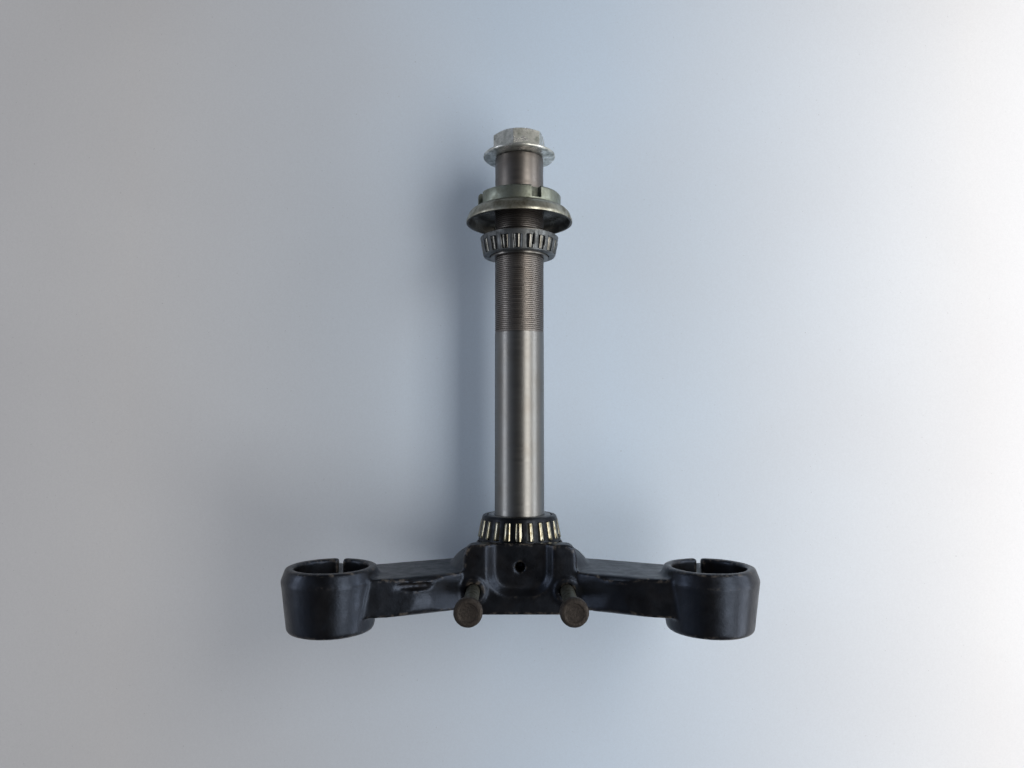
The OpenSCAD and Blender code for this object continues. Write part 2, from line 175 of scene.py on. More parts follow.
def new_material(name):
    """An empty node material with its object coordinates."""
    material = bpy.data.materials.new(name)
    material.use_nodes = True
    tree = material.node_tree
    tree.nodes.clear()
    return material, tree, add_node(tree, "ShaderNodeTexCoord")


def spots(tree, coords, size_mm, low, high, detail=4.0, stretch=None):
    """Noise with spots of a size in millimetres, cut to a range from low to high."""
    source, output = coords, "Object"
    if stretch:
        source = add_node(tree, "ShaderNodeMapping", {"Scale": stretch},
                          {"Vector": (coords, "Object")})
        output = "Vector"
    cloud = add_node(tree, "ShaderNodeTexNoise",
                     {"Scale": 1000 / size_mm, "Detail": detail, "Roughness": 0.6},
                     {"Vector": (source, output)})
    return add_node(tree, "ShaderNodeMapRange", {"From Min": low, "From Max": high},
                    {"Value": (cloud, "Fac")})


def coat(tree, factor, base, over):
    """Lays one colour over another where a mask says. Each is a hex value or a coat below."""
    mix = add_node(tree, "ShaderNodeMix", data_type="RGBA", links={0: (factor, 0)})
    for socket, value in ((MIX_A, base), (MIX_B, over)):
        if isinstance(value, str):
            mix.inputs[socket].default_value = linear(value)
        else:
            tree.links.new(value.outputs[MIX_OUT], mix.inputs[socket])
    return mix


def close_material(tree, colour, rough, bumps, **fixed):
    """Adds the shader.

    rough is a mask with the roughness at its 0 and 1, and bumps holds masks with their heights
    in millimetres.
    """
    mask, low, high = rough
    gloss = add_node(tree, "ShaderNodeMapRange", {"To Min": low, "To Max": high},
                     {"Value": (mask, 0)})
    shader = add_node(tree, "ShaderNodeBsdfPrincipled", links={
        "Base Color": (colour, MIX_OUT), "Roughness": (gloss, 0)})
    for key, value in fixed.items():
        shader.inputs[key.replace("_", " ")].default_value = value
    last = None
    for height, depth in bumps:
        bump = add_node(tree, "ShaderNodeBump", {"Distance": depth * MM, "Strength": 1.0},
                        {"Height": (height, 0)})
        if last:
            tree.links.new(last.outputs["Normal"], bump.inputs["Normal"])
        last = bump
    if last:
        tree.links.new(last.outputs["Normal"], shader.inputs["Normal"])
    add_node(tree, "ShaderNodeOutputMaterial", links={"Surface": (shader, "BSDF")})


def enamel_on_forging(c):
    """Black enamel brushed on a steel forging.

    It has a soft gloss, with dust in its corners and bare steel on its worn edges.
    """
    material, tree, coords = new_material("black_enamel_on_forging")
    curve = add_node(tree, "ShaderNodeAttribute", attribute_name="edge_curve")
    worn = add_node(tree, "ShaderNodeMapRange", {"From Min": 0.72, "From Max": 1.0},
                    {"Value": (curve, "Fac")})
    hollow = add_node(tree, "ShaderNodeMapRange", {"From Min": 0.35, "From Max": 0.0},
                      {"Value": (curve, "Fac")})
    chips = spots(tree, coords, 2.5, 0.5, 0.66)
    dust = spots(tree, coords, 9.0, 0.42, 0.66)
    chipped = add_node(tree, "ShaderNodeMath", operation="MULTIPLY",
                       links={0: (worn, 0), 1: (chips, 0)})
    dusty = add_node(tree, "ShaderNodeMath", operation="MULTIPLY",
                     links={0: (hollow, 0), 1: (dust, 0)})
    film = add_node(tree, "ShaderNodeMath", {1: 0.2}, {0: (dust, 0)}, operation="MULTIPLY")
    colour = coat(tree, film, c.enamel, c.enamel_dust)
    colour = coat(tree, dusty, colour, c.enamel_dust)
    colour = coat(tree, chipped, colour, c.enamel_wear)
    grime = spots(tree, coords, 5.0, 0.3, 0.75)
    pits = spots(tree, coords, 1.1, 0.35, 0.7, 2.0)
    waves = spots(tree, coords, 7.0, 0.2, 0.8, 1.0)
    close_material(tree, colour, (grime, 0.27, 0.45), [(waves, 0.06), (pits, 0.02)],
                   Specular_Tint=linear("b8cdf0"))
    return material


def turned_steel(name, hex_value, stain_hex, rough_low, rough_high, ring_mm, metal=1.0,
                 stain=0.5):
    """Turned or ground steel.

    It has fine rings round its axis, and darker stains where hands and grease have been.
    """
    material, tree, coords = new_material(name)
    rings = spots(tree, coords, ring_mm, 0.3, 0.7, 2.0, (0.02, 0.02, 1.0))
    stains = spots(tree, coords, 14.0, 0.45, 0.75)
    light = add_node(tree, "ShaderNodeMath", {1: stain}, {0: (stains, 0)}, operation="MULTIPLY")
    colour = coat(tree, light, hex_value, stain_hex)
    close_material(tree, colour, (rings, rough_low, rough_high), [(rings, 0.0015)],
                   Metallic=metal)
    return material


def plated_steel(name, hex_value, dull_hex, rough_low, rough_high, spot_mm, bump=0.03,
                 metal=0.9):
    """Zinc plate that has dulled in spots, over a pressed or machined part."""
    material, tree, coords = new_material(name)
    dull = spots(tree, coords, spot_mm, 0.38, 0.68)
    grain = spots(tree, coords, 0.7, 0.3, 0.7, 2.0)
    colour = coat(tree, dull, hex_value, dull_hex)
    close_material(tree, colour, (dull, rough_low, rough_high), [(grain, bump)], Metallic=metal)
    return material


def rusted_steel(c):
    """Plated steel gone to rust: brown, matt and pitted."""
    material, tree, coords = new_material("rusted_steel")
    rust = spots(tree, coords, 1.6, 0.35, 0.65)
    pits = spots(tree, coords, 0.8, 0.3, 0.7)
    colour = coat(tree, rust, c.rust, "2a2420")
    close_material(tree, colour, (rust, 0.75, 0.5), [(pits, 0.12)], Metallic=0.35)
    return material


def moulded_rubber(c):
    """Moulded nitrile rubber: matt black with a little grease."""
    material, tree, coords = new_material("moulded_rubber")
    film = spots(tree, coords, 6.0, 0.4, 0.7)
    colour = coat(tree, film, c.rubber, "2a2623")
    grain = spots(tree, coords, 0.9, 0.3, 0.7)
    close_material(tree, colour, (film, 0.62, 0.4), [(grain, 0.03)])
    return material


def soften(points, radius, steps):
    """Rounds each corner of a closed outline of (r, z) points with a curve of some steps."""
    most = 0.45  # of an edge's length, so that two roundings never meet
    made = []
    n = len(points)
    for i, here in enumerate(points):
        here = np.array(here, float)
        before = np.array(points[i - 1], float) - here
        after = np.array(points[(i + 1) % n], float) - here
        la, lb = np.linalg.norm(before), np.linalg.norm(after)
        cut = min(radius, most * la, most * lb)
        a, b = here + before / la * cut, here + after / lb * cut
        for k in range(steps + 1):
            t = k / steps
            made.append(tuple((1 - t) ** 2 * a + 2 * t * (1 - t) * here + t * t * b))
    return made


def lathe(name, outline, base_z=0.0, flip=False):
    """Turns a closed outline of (r, z) points in millimetres about the Z axis."""
    mesh = bpy.data.meshes.new(name)
    work = bmesh.new()
    turn = [2 * math.pi * k / ROUND_STEPS for k in range(ROUND_STEPS)]
    rows = []
    for r, z in outline:
        height = (base_z - z if flip else base_z + z) * MM
        rows.append([work.verts.new((r * MM * math.cos(t), r * MM * math.sin(t), height))
                     for t in turn])
    for i, low in enumerate(rows):
        high = rows[(i + 1) % len(rows)]
        for k in range(ROUND_STEPS):
            n = (k + 1) % ROUND_STEPS
            work.faces.new((low[k], low[n], high[n], high[k]))
    bmesh.ops.remove_doubles(work, verts=work.verts, dist=1e-7)
    bmesh.ops.dissolve_degenerate(work, edges=work.edges, dist=1e-7)
    bmesh.ops.recalc_face_normals(work, faces=work.faces)
    work.to_mesh(mesh)
    work.free()
    return link(bpy.data.objects.new(name, mesh))


def link(obj):
    """Puts an object in the scene."""
    bpy.context.scene.collection.objects.link(obj)
    return obj


def smooth(obj, angle=32):
    """Shades smooth, with sharp edges beyond an angle."""
    obj.data.polygons.foreach_set("use_smooth", [True] * len(obj.data.polygons))
    obj.data.set_sharp_from_angle(angle=math.radians(angle))
    return obj


def finish_piece(obj, body, nodes, slot, *materials):
    """Gives a piece its materials and its body, and hides the CAD nodes that it stands for. Its
    slot is not used.
    """
    for material in materials:
        if material.name not in [m.name for m in obj.data.materials if m]:
            obj.data.materials.append(material)
    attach(obj, body)
    if nodes:
        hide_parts(*nodes)
    return obj


def evaluate(obj):
    """Turns an object's modifiers into its plain mesh."""
    graph = bpy.context.evaluated_depsgraph_get()
    mesh = bpy.data.meshes.new_from_object(obj.evaluated_get(graph),
                                           preserve_all_data_layers=True, depsgraph=graph)
    obj.modifiers.clear()
    obj.data = mesh
    return obj


def merged_copy(node, name):
    """A copy of a CAD node with its loose triangles joined."""
    obj = link(bpy.data.objects.new(name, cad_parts[node].data.copy()))
    obj.data.materials.clear()
    work = bmesh.new()
    work.from_mesh(obj.data)
    bmesh.ops.remove_doubles(work, verts=work.verts, dist=2e-6)
    work.to_mesh(obj.data)
    work.free()
    return obj


def beveled_copy(node, name, width_mm, angle=30):
    """A merged copy with flat faces joined and its edges broken by a small bevel."""
    obj = merged_copy(node, name)
    work = bmesh.new()
    work.from_mesh(obj.data)
    bmesh.ops.dissolve_limit(work, angle_limit=math.radians(0.5), verts=work.verts,
                             edges=work.edges)
    work.to_mesh(obj.data)
    work.free()
    return break_edges(obj, width_mm, angle, 40)


def break_edges(obj, width_mm, angle, smooth_angle):
    """Breaks the edges beyond an angle with a small bevel, and shades the rest smooth."""
    bevel = obj.modifiers.new("edges", "BEVEL")
    bevel.width = width_mm * MM
    bevel.segments = 2
    bevel.limit_method = "ANGLE"
    bevel.angle_limit = math.radians(angle)
    return smooth(evaluate(obj), smooth_angle)


def relax(obj, rounds):
    """Evens a dense mesh by moving each point halfway to the middle of its neighbours."""
    points, edges = mesh_arrays(obj)
    for _ in range(rounds):
        points += 0.5 * (neighbour_mean(points, edges) - points)
    move_points(obj, points)


def move_points(obj, points):
    """Puts a mesh's points at new places."""
    obj.data.vertices.foreach_set("co", points.astype(np.float32).ravel())
    obj.data.update()


def mesh_arrays(obj):
    """A mesh's points and its edges, as arrays."""
    data = obj.data
    points = np.empty(len(data.vertices) * 3)
    data.vertices.foreach_get("co", points)
    edges = np.empty(len(data.edges) * 2, int)
    data.edges.foreach_get("vertices", edges)
    return points.reshape(-1, 3), edges.reshape(-1, 2)


def neighbour_mean(values, edges):
    """The mean of each point's neighbours."""
    total = np.zeros_like(values)
    count = np.zeros(len(values))
    for a, b in ((0, 1), (1, 0)):
        np.add.at(total, edges[:, a], values[edges[:, b]])
        np.add.at(count, edges[:, a], 1)
    count = np.maximum(count, 1)
    return total / (count[:, None] if values.ndim > 1 else count)


def point_normals(obj):
    """The normals of a mesh's points, as an array."""
    normals = np.empty(len(obj.data.vertices) * 3)
    obj.data.vertices.foreach_get("normal", normals)
    return normals.reshape(-1, 3)


def store_edge_curve(obj):
    """Stores how far each point stands out of its neighbours.

    0.5 is flat, 1 is an edge that stands out, and 0 is a hollow.
    """
    gain = 6.0
    points, edges = mesh_arrays(obj)
    size = np.linalg.norm(points[edges[:, 0]] - points[edges[:, 1]], axis=1).mean()
    away = neighbour_mean(points, edges) - points
    bend = -np.einsum("ij,ij->i", away, point_normals(obj)) / size
    for _ in range(3):
        bend = 0.5 * bend + 0.5 * neighbour_mean(bend, edges)
    value = np.clip(0.5 + bend * gain, 0, 1).astype(np.float32)
    layer = obj.data.attributes.new("edge_curve", "FLOAT", "POINT")
    layer.data.foreach_set("value", value)


def forge_surface(obj, depth_mm=0.08, lumps_per_m=130):
    """Gives a forging its slight unevenness, only inwards."""
    points, _ = mesh_arrays(obj)
    lump = np.array([noise.noise(Vector(p * lumps_per_m)) for p in points])
    points -= point_normals(obj) * ((lump + 1) * 0.5 * depth_mm * MM)[:, None]
    move_points(obj, points)


# The size of the forged skin's cells, in millimetres
SKIN_VOXEL = 0.85


class TRIPLECLAMP_OT_yoke(bpy.types.Operator):
    """Build the forged lower yoke, with soft edges and an uneven forged skin"""

    bl_idname = "tripleclamp.yoke"
    bl_label = "Lower yoke"

    def execute(self, context):
        c = context.scene.clamp_colours
        obj = merged_copy("lower_yoke", "lower_yoke_forging")
        remesh = obj.modifiers.new("skin", "REMESH")
        remesh.mode = "VOXEL"
        remesh.voxel_size = SKIN_VOXEL * MM
        remesh.use_smooth_shade = True
        evaluate(obj)
        relax(obj, 2)
        store_edge_curve(obj)
        forge_surface(obj)
        finish_piece(obj, ROOT, ["lower_yoke"], "black_enamel", enamel_on_forging(c))
        return {"FINISHED"}


# Parts of the thread's pitch, and the rounding of a turned edge in millimetres
THREAD_DEPTH = 0.2
RIDGE_RADIUS = 0.18
EDGE_ROUND = 0.15


class TRIPLECLAMP_OT_stem(bpy.types.Operator):
    """Build the steering stem with its fine thread"""

    bl_idname = "tripleclamp.stem"
    bl_label = "Steering stem"

    def execute(self, context):
        s = context.scene.clamp_stem
        c = context.scene.clamp_colours
        low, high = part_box("steering_stem")
        bottom, top = low.z / MM, high.z / MM
        root_r = s.radius - THREAD_DEPTH * s.pitch
        chamfer, groove = 0.8, 0.2
        groove_r = s.neck_radius - groove
        outline = [
            (s.bore_radius, bottom), (s.foot_radius - chamfer, bottom),
            (s.foot_radius, bottom + chamfer), (s.foot_radius, s.foot_top),
            (s.radius, s.foot_top), (s.radius, s.thread_low - 1.2),
            (root_r, s.thread_low - 0.4), (root_r, s.thread_top - 0.8),
            (groove_r, s.thread_top), (groove_r, s.thread_top + 0.6),
            (s.neck_radius, s.thread_top + 0.8), (s.neck_radius, top - chamfer),
            (s.neck_radius - chamfer, top), (s.bore_radius, top),
        ]
        stem = lathe("steering_stem_shaft", soften(outline, EDGE_ROUND, 2))
        ground = turned_steel("ground_shaft_steel", c.shaft, "66615a", 0.3, 0.4, 0.5, stain=0.4)
        neck = turned_steel("turned_neck_steel", c.neck, "5b514a", 0.32, 0.5, 0.6, stain=0.6)
        stem.data.materials.append(ground)
        stem.data.materials.append(neck)
        for face in stem.data.polygons:
            face.material_index = int(face.center.z / MM > s.thread_low - 1)
        smooth(stem)
        finish_piece(stem, ROOT, ["steering_stem"], "ground_steel")
        thread = thread_ridge(s, root_r, stained_thread(c))
        finish_piece(thread, ROOT, [], "ground_steel")
        return {"FINISHED"}


def stained_thread(c):
    """A rolled thread, dull and stained brown by old grease."""
    return turned_steel("stained_thread_steel", c.thread, "2b2521", 0.5, 0.68, 1.5,
                        metal=0.8, stain=0.8)


def thread_ridge(s, root_r, material):
    """A helical ridge wound by geometry nodes on the stem's core."""
    tree = bpy.data.node_groups.new("thread_ridge", "GeometryNodeTree")
    face = tree.interface
    face.new_socket("Geometry", in_out="OUTPUT", socket_type="NodeSocketGeometry")
    for label in ("Turns", "Core Radius", "Height", "Ridge Radius"):
        face.new_socket(label, in_out="INPUT", socket_type="NodeSocketFloat")
    face.new_socket("Start", in_out="INPUT", socket_type="NodeSocketVector")
    entry = add_node(tree, "NodeGroupInput")
    spiral = add_node(tree, "GeometryNodeCurveSpiral", {"Resolution": 72}, {
        "Rotations": (entry, "Turns"), "Start Radius": (entry, "Core Radius"),
        "End Radius": (entry, "Core Radius"), "Height": (entry, "Height")})
    profile = add_node(tree, "GeometryNodeCurvePrimitiveCircle", {"Resolution": 6},
                       {"Radius": (entry, "Ridge Radius")})
    sweep = add_node(tree, "GeometryNodeCurveToMesh", {"Fill Caps": True},
                     {"Curve": (spiral, "Curve"), "Profile Curve": (profile, "Curve")})
    move = add_node(tree, "GeometryNodeTransform",
                    links={"Geometry": (sweep, 0), "Translation": (entry, "Start")})
    close_tree(tree, move, material)
    height = s.thread_top - 1.6 - s.thread_low
    return grow(tree, "stem_thread", {
        "Turns": height / s.pitch, "Core Radius": root_r * MM, "Height": height * MM,
        "Ridge Radius": RIDGE_RADIUS * s.pitch * MM, "Start": (0, 0, s.thread_low * MM)})


def close_tree(tree, last, material):
    """Ends a tree of geometry nodes with real instances that have their material."""
    real = add_node(tree, "GeometryNodeRealizeInstances", links={"Geometry": (last, 0)})
    paint = add_node(tree, "GeometryNodeSetMaterial", {"Material": material},
                     {"Geometry": (real, 0)})
    add_node(tree, "NodeGroupOutput", links={"Geometry": (paint, 0)})


def grow(tree, name, inputs):
    """Runs a node tree on an empty object, and returns the plain mesh."""
    obj = link(bpy.data.objects.new(name, bpy.data.meshes.new(name)))
    modifier = obj.modifiers.new("build", "NODES")
    modifier.node_group = tree
    sockets = {item.name: item.identifier for item in tree.interface.items_tree
               if item.in_out == "INPUT"}
    for label, value in inputs.items():
        modifier[sockets[label]] = value
    return evaluate(obj)


def roller_tree(material):
    """Geometry nodes: tapered rollers in a ring, leaning towards the axis."""
    tree = bpy.data.node_groups.new("roller_ring", "GeometryNodeTree")
    face = tree.interface
    face.new_socket("Geometry", in_out="OUTPUT", socket_type="NodeSocketGeometry")
    face.new_socket("Count", in_out="INPUT", socket_type="NodeSocketInt")
    for label in ("Ring Radius", "Large Radius", "Small Radius", "Length", "Tilt", "Turn",
                  "Height"):
        face.new_socket(label, in_out="INPUT", socket_type="NodeSocketFloat")
    entry = add_node(tree, "NodeGroupInput")
    index = add_node(tree, "GeometryNodeInputIndex")
    step = add_node(tree, "ShaderNodeMath", {0: 2 * math.pi}, {1: (entry, "Count")},
                    operation="DIVIDE")
    angle = add_node(tree, "ShaderNodeMath", operation="MULTIPLY_ADD",
                     links={0: (index, 0), 1: (step, 0), 2: (entry, "Turn")})
    cos = add_node(tree, "ShaderNodeMath", operation="COSINE", links={0: (angle, 0)})
    sin = add_node(tree, "ShaderNodeMath", operation="SINE", links={0: (angle, 0)})
    x = add_node(tree, "ShaderNodeMath", operation="MULTIPLY",
                 links={0: (cos, 0), 1: (entry, "Ring Radius")})
    y = add_node(tree, "ShaderNodeMath", operation="MULTIPLY",
                 links={0: (sin, 0), 1: (entry, "Ring Radius")})
    place = add_node(tree, "ShaderNodeCombineXYZ",
                     links={"X": (x, 0), "Y": (y, 0), "Z": (entry, "Height")})
    feet = add_node(tree, "GeometryNodePoints",
                    links={"Count": (entry, "Count"), "Position": (place, 0)})
    roller = add_node(tree, "GeometryNodeMeshCone", {"Vertices": 32}, {
        "Radius Bottom": (entry, "Large Radius"), "Radius Top": (entry, "Small Radius"),
        "Depth": (entry, "Length")})
    lean = add_node(tree, "ShaderNodeCombineXYZ", links={"Y": (entry, "Tilt"), "Z": (angle, 0)})
    copies = add_node(tree, "GeometryNodeInstanceOnPoints", links={
        "Points": (feet, 0), "Instance": (roller, "Mesh"), "Rotation": (lean, 0)})
    close_tree(tree, copies, material)
    return tree


# The bevel on a roller's ends, in millimetres
ROLLER_EDGE = 0.22


class Bearing:
    """One bearing's outlines, worked out from its sizes as in the frame's own source."""

    def __init__(self, sizes, base_z, flip):
        self.s, self.base, self.flip = sizes, base_z, flip
        self.cos = math.cos(math.radians(sizes.tilt))
        self.sin = math.sin(math.radians(sizes.tilt))

    def axis(self, t):
        """A point on a roller's axis, t from its large end."""
        s = self.s
        return np.array([s.outer - s.big_radius * self.cos - t * self.sin, s.low + t * self.cos])

    def side(self, t, gap):
        """A point beside a roller, on the race's side of it."""
        s = self.s
        radius = s.big_radius + (s.small_radius - s.big_radius) * t / s.length
        return self.axis(t) - (radius + gap) * np.array([self.cos, self.sin])

    def race_outline(self, gap=0.08):
        """The race's section, with a rib at each end of the rollers."""
        s = self.s
        low, high = self.side(-gap, gap), self.side(s.length + gap, gap)
        slope = np.array([1, self.sin / self.cos])
        chamfer, rib_chamfer = 0.6, 0.5
        return [(s.bore, chamfer), (s.bore + chamfer, 0), (low[0] + s.rib - rib_chamfer, 0),
                (low[0] + s.rib, rib_chamfer), tuple(low + s.rib * slope), tuple(low),
                tuple(high), tuple(high + s.small_rib * slope),
                (high[0] + s.small_rib, s.height - rib_chamfer),
                (high[0] + s.small_rib - rib_chamfer, s.height),
                (s.bore + chamfer, s.height), (s.bore, s.height - chamfer)]

    def make_rollers(self, name, material, extra=0.0):
        """The ring of rollers, each grown by extra millimetres all round."""
        s = self.s
        # A cone's origin is the middle of its lower face
        foot = self.axis(s.length if self.flip else 0)
        sign = -1 if self.flip else 1
        rollers = grow(roller_tree(material), name, {
            "Count": s.count, "Ring Radius": float(foot[0]) * MM, "Length": s.length * MM,
            "Large Radius": ((s.small_radius if self.flip else s.big_radius) + extra) * MM,
            "Small Radius": ((s.big_radius if self.flip else s.small_radius) + extra) * MM,
            "Tilt": -sign * math.radians(s.tilt), "Turn": math.radians(s.turn - 90),
            "Height": (self.base + sign * float(foot[1])) * MM})
        return break_edges(rollers, ROLLER_EDGE, 50, 50)


UPPER_SIZES = {"count": 19, "big_radius": 2.3, "small_radius": 2.08, "length": 6.6,
               "outer": 19.9, "low": 3.9, "turn": -3.7, "bore": 12.55, "height": 13.5}


class TRIPLECLAMP_OT_lower_bearing(bpy.types.Operator):
    """Build the lower bearing's race, rollers and cage, and the rubber seal below it"""

    bl_idname = "tripleclamp.lower_bearing"
    bl_label = "Lower bearing"

    def execute(self, context):
        c = context.scene.clamp_colours
        bearing = Bearing(context.scene.clamp_lower_bearing, 0.0, False)
        race = smooth(lathe("lower_race_ring", soften(bearing.race_outline(), EDGE_ROUND, 2)))
        finish_piece(race, ROOT, ["lower_race"], "bearing_steel",
                     turned_steel("ground_race_steel", c.race, "3a3632", 0.2, 0.36, 0.9))
        golden = polished_rollers("golden_roller_steel", c.roller, "736d58", 0.08)
        rollers = bearing.make_rollers("lower_roller_ring", golden)
        finish_piece(rollers, "lower_roller_set", ["lower_rollers"], "roller_steel")
        cage = beveled_copy("lower_cage", "lower_cage_pressing", 0.12)
        finish_piece(cage, "lower_roller_set", ["lower_cage"], "cage_steel_dark",
                     plated_steel("blued_cage_steel", c.cage_dark, "17191d", 0.3, 0.5, 3.0, 0.02))
        seal = beveled_copy("dust_seal", "dust_seal_lip", 0.15)
        finish_piece(seal, ROOT, ["dust_seal"], "seal_rubber", moulded_rubber(c))
        return {"FINISHED"}


def polished_rollers(name, hex_value, film_hex, rough):
    """Through-hardened steel rollers, lapped bright, under a yellow film of grease."""
    material, tree, coords = new_material(name)
    film = spots(tree, coords, 3.0, 0.4, 0.65)
    colour = coat(tree, film, hex_value, film_hex)
    close_material(tree, colour, (film, rough, rough + 0.06), [], Metallic=1.0)
    return material


# The upper race's end is drawn in by this many millimetres, and the cage's by a share of its
# length below the windows, while it narrows by a share for each metre
SMALL_END_CUT = 1.2
CAGE_SHORTER = 0.45
CAGE_NARROWER = 14


def shorten_small_end(cage, low):
    """Draws the cage's plain end in, below its windows, as far as the photograph shows it."""
    work = bmesh.new()
    work.from_mesh(cage.data)
    bmesh.ops.triangulate(work, faces=work.faces)
    work.to_mesh(cage.data)
    work.free()
    for v in cage.data.vertices:
        drop = low - v.co.z
        if drop > 0:
            v.co.z += CAGE_SHORTER * drop
            v.co.x, v.co.y = (value * (1 - CAGE_NARROWER * drop) for value in (v.co.x, v.co.y))


# How far a window of the upper cage stands off its roller, in millimetres
WINDOW_GAP = 0.4


def widen_windows(cage, bearing):
    """Cuts a cage's windows wider than the rollers, so that a dark gap shows at both sides."""
    cutter = bearing.make_rollers("window_cutter", None, WINDOW_GAP)
    cut = cage.modifiers.new("windows", "BOOLEAN")
    cut.operation = "DIFFERENCE"
    cut.solver = "EXACT"
    cut.object = cutter
    evaluate(cage)
    bpy.data.objects.remove(cutter)


class TRIPLECLAMP_OT_upper_bearing(bpy.types.Operator):
    """Build the upper bearing's race, rollers and cage"""

    bl_idname = "tripleclamp.upper_bearing"
    bl_label = "Upper bearing"

    def execute(self, context):
        c = context.scene.clamp_colours
        sizes = context.scene.clamp_upper_bearing
        for key, value in UPPER_SIZES.items():
            setattr(sizes, key, value)
        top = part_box("upper_race")[1].z / MM
        bearing = Bearing(sizes, top, True)
        outline = [(r, min(z, sizes.height - SMALL_END_CUT)) for r, z in bearing.race_outline()]
        race = smooth(lathe("upper_race_ring", soften(outline, EDGE_ROUND, 2), top, True))
        finish_piece(race, "upper_ring", ["upper_race"], "bearing_steel",
                     turned_steel("greased_race_steel", c.race, "2f2b29", 0.25, 0.42, 0.9))
        grey = polished_rollers("grey_roller_steel", "6b6b68", "4c4b46", 0.12)
        rollers = bearing.make_rollers("upper_roller_ring", grey)
        finish_piece(rollers, "upper_roller_set", ["upper_rollers"], "roller_steel")
        cage = beveled_copy("upper_cage", "upper_cage_pressing", 0.15)
        widen_windows(cage, bearing)
        shorten_small_end(cage, (top - bearing.axis(sizes.length)[1] - WINDOW_GAP) * MM)
        finish_piece(cage, "upper_roller_set", ["upper_cage"], "cage_steel_grey",
                     plated_steel("grey_cage_steel", c.cage_grey, "45484a", 0.4, 0.6, 3.0, 0.02))
        return {"FINISHED"}


class TRIPLECLAMP_OT_cover(bpy.types.Operator):
    """Build the pressed dust cover"""

    bl_idname = "tripleclamp.cover"
    bl_label = "Dust cover"

    def execute(self, context):
        c = context.scene.clamp_colours
        obj = beveled_copy("dust_cover", "dust_cover_pressing", 0.2)
        plate = plated_steel("olive_zinc_plate", c.cover, "5a574b", 0.3, 0.55, 6.0)
        # The cover's inside and its downward faces take a darker zinc: partly grease, partly
        # painted shade under the cover
        greased_and_shaded = plated_steel("greased_inner_zinc", "3a3832", "15130f", 0.25, 0.5, 7.0, 0.04, 0.7)
        obj.data.materials.append(plate)
        obj.data.materials.append(greased_and_shaded)
        # Faces that look inwards or down get the darker zinc, which holds painted shade as well as
        # grease
        for face in obj.data.polygons:
            outward = face.normal.x * face.center.x + face.normal.y * face.center.y
            inside = outward < -0.3 * face.center.xy.length or face.normal.z < -0.6
            face.material_index = int(inside)
        finish_piece(obj, "cover", ["dust_cover"], "olive_zinc")
        return {"FINISHED"}


class TRIPLECLAMP_OT_nut(bpy.types.Operator):
    """Build the slotted ring nut"""

    bl_idname = "tripleclamp.nut"
    bl_label = "Ring nut"

    def execute(self, context):
        c = context.scene.clamp_colours
        obj = beveled_copy("ring_nut", "ring_nut_body", 0.3)
        finish_piece(obj, "nut", ["ring_nut"], "grey_zinc",
                     plated_steel("green_zinc_plate", c.nut, "666a60", 0.34, 0.55, 5.0))
        return {"FINISHED"}


class TRIPLECLAMP_OT_head_bolt(bpy.types.Operator):
    """Build the flanged head bolt"""

    bl_idname = "tripleclamp.head_bolt"
    bl_label = "Head bolt"

    def execute(self, context):
        c = context.scene.clamp_colours
        obj = beveled_copy("head_bolt", "head_bolt_body", 0.3, 20)
        finish_piece(obj, ROOT, ["head_bolt"], "bright_zinc",
                     plated_steel("bright_zinc_plate", c.bolt, "858a85", 0.26, 0.46, 4.0))
        return {"FINISHED"}


# How far the rust reaches behind the front of a pin's head, in millimetres
RUSTY_LENGTH = 4.4


class TRIPLECLAMP_OT_front_pins(bpy.types.Operator):
    """Build the two headed pins in the front of the block"""

    bl_idname = "tripleclamp.front_pins"
    bl_label = "Front pins"

    def execute(self, context):
        c = context.scene.clamp_colours
        rust = rusted_steel(c)
        shank = plated_steel("dull_shank_zinc", c.shank, "3f3f38", 0.4, 0.62, 2.5, 0.05, 0.7)
        for side in ("left", "right"):
            obj = beveled_copy(f"front_pin_{side}", f"front_pin_{side}_body", 0.25)
            obj.data.materials.append(shank)
            obj.data.materials.append(rust)
            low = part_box(f"front_pin_{side}")[0].y
            for face in obj.data.polygons:
                face.material_index = int(face.center.y < low + RUSTY_LENGTH * MM)
            finish_piece(obj, ROOT, [f"front_pin_{side}"], "rusty_steel")
        return {"FINISHED"}


class TRIPLECLAMP_OT_pinch_bolts(bpy.types.Operator):
    """Build the pinch bolts and their washers"""

    bl_idname = "tripleclamp.pinch_bolts"
    bl_label = "Pinch bolts"

    def execute(self, context):
        c = context.scene.clamp_colours
        zinc = plated_steel("pinch_bolt_zinc", c.nut, "5a5c54", 0.34, 0.58, 2.5, 0.04)
        for side in ("left", "right"):
            for kind in ("bolt", "washer"):
                node = f"pinch_{kind}_{side}"
                obj = beveled_copy(node, f"{node}_body", 0.25)
                finish_piece(obj, ROOT, [node], "grey_zinc", zinc)
        return {"FINISHED"}


# A lamp at the front right, a window beside the board and a weaker one far at the left:
# place, aim, width and height in metres, and colour
LAMPS = {
    "key": ((0.43, -0.57, 0.04), (0, 0, 0.05), (0.3, 1.0), "fff8ee"),
    "window": ((0.46, -0.14, 0.02), (0.12, 0.03, 0.02), (0.15, 0.9), "ffffff"),
    "fill": ((-0.95, -0.3, 0.1), (0, 0, 0.05), (0.25, 0.8), "f4f5fa"),
}


class TRIPLECLAMP_OT_stage(bpy.types.Operator):
    """Set up the board, the lamps, the sky and the camera"""

    bl_idname = "tripleclamp.stage"
    bl_label = "Stage"

    def execute(self, context):
        st = context.scene.clamp_stage
        make_board(st, context.scene.clamp_colours)
        for name, values in LAMPS.items():
            make_lamp(f"{name}_lamp", getattr(st, f"{name}_power"), *values)
        make_sky(context.scene, st)
        make_camera(context.scene, st)
        context.scene.view_settings.view_transform = "Standard"
        return {"FINISHED"}


